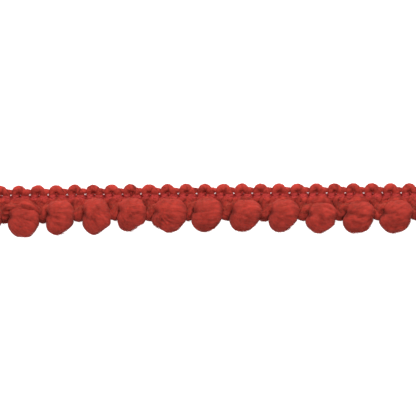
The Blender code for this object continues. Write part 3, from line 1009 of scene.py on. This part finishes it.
# The chains: how far from the line of the trim, their half width and their height
Chain = namedtuple("Chain", "y half_width height")
CHAINS = (Chain(4.42, 0.24, 1.42), Chain(3.60, 0.26, 1.60))
# The wisps cross the gaps at these places from a picot's middle, spread about them, at this distance from
# the line of the trim and these heights
WISPS_PER_GAP = 12
WISP_GAPS = (0.2, 3.3)
WISP_SPREAD = 0.5
WISP_Y = 4.6
WISP_Y_SPREAD = 0.1
WISP_HEIGHTS = (1.4, 1.8)
WISP_VEER = 0.5
WISP_LENGTHS = (0.9, 1.3)
WISP_LIFTS = (0.0, 0.2)
WISP_RADII = (0.02, 0.035)
WISP_SHADE = 1.0


def picot_range():
    """The numbers of the picots that the trim holds, with one over at each end."""
    first = math.ceil((-HALF_LENGTH - FIRST_PICOT_X) / PICOT_PITCH) - 1
    last = math.floor((HALF_LENGTH - FIRST_PICOT_X) / PICOT_PITCH) + 1
    return range(first, last + 1)


def yarn_route(table, chance, jitter, steps):
    """The rows of a yarn's route through all picots, with each point moved a little by chance."""
    rows = []
    for picot in picot_range():
        x = FIRST_PICOT_X + picot * PICOT_PITCH
        for point in table:
            shift = chance.normal(0, jitter, 3)
            rows.append((x + point.x + shift[0], point.y + shift[1], point.z + JITTER_RISE * shift[2],
                         point.half_width, point.half_height))
    rows = [row for row in rows if abs(row[0]) < HALF_LENGTH]
    route = smooth_route(rows, int(steps * 2 * HALF_LENGTH / PICOT_PITCH))
    route[:, 1] += sway(route[:, 0])
    route[:, 0] = np.clip(route[:, 0], -HALF_LENGTH, HALF_LENGTH)
    return route


def add_yarn(shell, route, chance, twist):
    """A plied yarn along a route of places, half widths and half heights, and where its fibres may start."""
    centres = route[:, :3]
    forward, side, up = tube_frames(centres)
    length = np.concatenate([[0], np.cumsum(np.linalg.norm(np.diff(centres, axis=0), axis=1))])[:, None]
    turn = np.linspace(0, math.tau, twist.sides, endpoint=False)
    level = turn[None] / math.tau
    wound = level + twist.turns_per_mm * length
    ply = twist.ply_depth * np.abs(np.sin(twist.plies * math.pi * wound))
    slub = grain_noise(SLUB, level, length, chance)
    streaks = grain_noise(STREAKS, wound, length, chance)
    mottle = grain_noise(MOTTLE, wound, length, chance)
    scale = 1 - twist.ply_depth / 2 + ply + SLUB.relief * slub + STREAKS.relief * streaks
    wide = side[:, None] * (np.cos(turn)[None] * route[:, 3:4] * scale)[..., None]
    high = up[:, None] * (np.sin(turn)[None] * route[:, 4:5] * scale)[..., None]
    surface = centres[:, None] + wide + high
    surface[..., 2] = np.maximum(surface[..., 2], 0.0)
    # Painted shade, darker the lower the yarn lies in the heading
    painted_shade = YARN_PAINTED_SHADE * (1 - smooth_step(*YARN_PAINTED_SHADE_HEIGHTS, surface[..., 2]))
    # Painted shade in the grooves between the plies
    grooves = 1 - ply / twist.ply_depth
    arch = smooth_step(*ARCH_RANGE, surface[..., 1] - sway(surface[..., 0]))
    shades = YARN_SHADE - GROOVE_PAINTED_SHADE * grooves**2 + SLUB.shade * slub + STREAKS.shade * streaks
    shades = shades + mottle * (LOOP_MOTTLE + (MOTTLE.shade - LOOP_MOTTLE) * arch) - painted_shade
    add_tube(shell, centres, surface, shades)
    return surface, outward(turn, side, up), forward


def add_fuzz(shell, yarn, chance, count, coat):
    """Short hairs over a yarn."""
    surface, out, forward = yarn
    rings = chance.integers(FUZZ_MARGIN, len(surface) - FUZZ_MARGIN, count)
    sides = chance.integers(0, surface.shape[1], count)
    lay = forward[rings] * chance.choice([-1.0, 1.0], count)[:, None]
    veer = chance.normal(0, FUZZ_VEER, count)[:, None]
    lay = unit(lay * np.cos(veer) + np.cross(out[rings, sides], lay) * np.sin(veer))
    lengths, lifts, radii, shades = (chance.uniform(*span, count) for span in coat)
    add_fibres(shell, surface[rings, sides], out[rings, sides], lay, lengths, lifts, radii, shades)


def add_wisps(shell, chance):
    """Wisps of fibre that cross the gaps below the upper cord."""
    middles = np.array([FIRST_PICOT_X + picot * PICOT_PITCH for picot in picot_range()])
    middles = middles[np.abs(middles) < HALF_LENGTH - PICOT_PITCH]
    x = np.concatenate([middles + gap for gap in WISP_GAPS for _ in range(WISPS_PER_GAP)])
    count = len(x)
    x = x + chance.uniform(-WISP_SPREAD, WISP_SPREAD, count)
    y = WISP_Y + chance.uniform(-WISP_Y_SPREAD, WISP_Y_SPREAD, count) + sway(x)
    starts = np.stack([x, y, chance.uniform(*WISP_HEIGHTS, count)], axis=1)
    up = np.tile([0.0, 0.0, 1.0], (count, 1))
    lay = unit(np.stack([chance.normal(0, WISP_VEER, count), np.ones(count), np.zeros(count)], axis=1))
    lengths, lifts, radii = (chance.uniform(*span, count) for span in (WISP_LENGTHS, WISP_LIFTS, WISP_RADII))
    add_fibres(shell, starts, up, lay, lengths, lifts, radii, np.full(count, WISP_SHADE))


def slit_depth(x):
    """How far the chains sink into the gaps between the legs of the weft at x."""
    place = (x - FIRST_PICOT_X) / PICOT_PITCH
    sink = 0.0
    for slit in CHAIN_SLITS:
        apart = ((place - slit / PICOT_PITCH + 0.5) % 1.0 - 0.5) * PICOT_PITCH
        sink = sink + CHAIN_SINK * np.exp(-((apart / CHAIN_SLIT_HALF_WIDTH) ** 2))
    return sink


def chain_route(chain, chance):
    """A row of fine chain stitches along the trim: one thread."""
    stitch = PICOT_PITCH / CHAIN_STITCHES_PER_PITCH
    rows = []
    for k in range(int(2 * HALF_LENGTH / stitch) - 1):
        for point in CHAIN_STITCH:
            x = -HALF_LENGTH + CHAIN_START + stitch * (k + point.forward) + chance.normal(0, CHAIN_JITTER)
            across = chain.half_width * point.across + chance.normal(0, CHAIN_JITTER)
            rows.append((x, chain.y + across, chain.height + CHAIN_LIFT * point.lift))
    route = smooth_route(rows, len(rows) * CHAIN_STEPS_PER_STITCH // len(CHAIN_STITCH))
    wave = (route[:, 0] - FIRST_PICOT_X) / PICOT_PITCH + CHAIN_WAVE_PHASE
    route[:, 1] += CHAIN_WAVE * np.sin(math.tau * wave)
    route[:, 1] += sway(route[:, 0])
    route[:, 2] -= slit_depth(route[:, 0])
    return np.hstack([route, np.full((len(route), 2), CHAIN_THREAD_RADIUS)])


def build_heading(yarn_finish, thread_finish):
    """The crocheted heading: two thick wefts, a cord between the arches, low fillings and chain stitches."""
    chance = np.random.default_rng(HEADING_SEED)
    for name, table, jitter, hairs in HEADING_YARNS:
        shell = Shell()
        yarn = add_yarn(shell, yarn_route(table, chance, jitter, STEPS_PER_PITCH), chance, HEADING_TWIST)
        add_fuzz(shell, yarn, chance, hairs, HEADING_COAT)
        shell.make(name, yarn_finish, "heading_yarn", "heading")
    shell = Shell()
    for table in (UPPER_FILLING, LOWER_FILLING):
        route = yarn_route(table, chance, FILLING_JITTER, FILLING_STEPS_PER_PITCH)
        add_yarn(shell, route, chance, FILLING_TWIST)
    shell.make("low_filling", yarn_finish, "heading_yarn", "heading")
    shell = Shell()
    for chain in CHAINS:
        add_yarn(shell, chain_route(chain, chance), chance, CHAIN_TWIST)
    add_wisps(shell, chance)
    shell.make("chain_stitches", thread_finish, "heading_yarn", "heading")


# The whole scene

add_camera()
add_light()
add_floor()
wool = woolly_material(POMPOM_WOOL)
yarn = woolly_material(HEADING_YARN)
thread = woolly_material(CHAIN_THREAD)
build_roving(build_pompoms(wool), wool)
build_heading(yarn, thread)
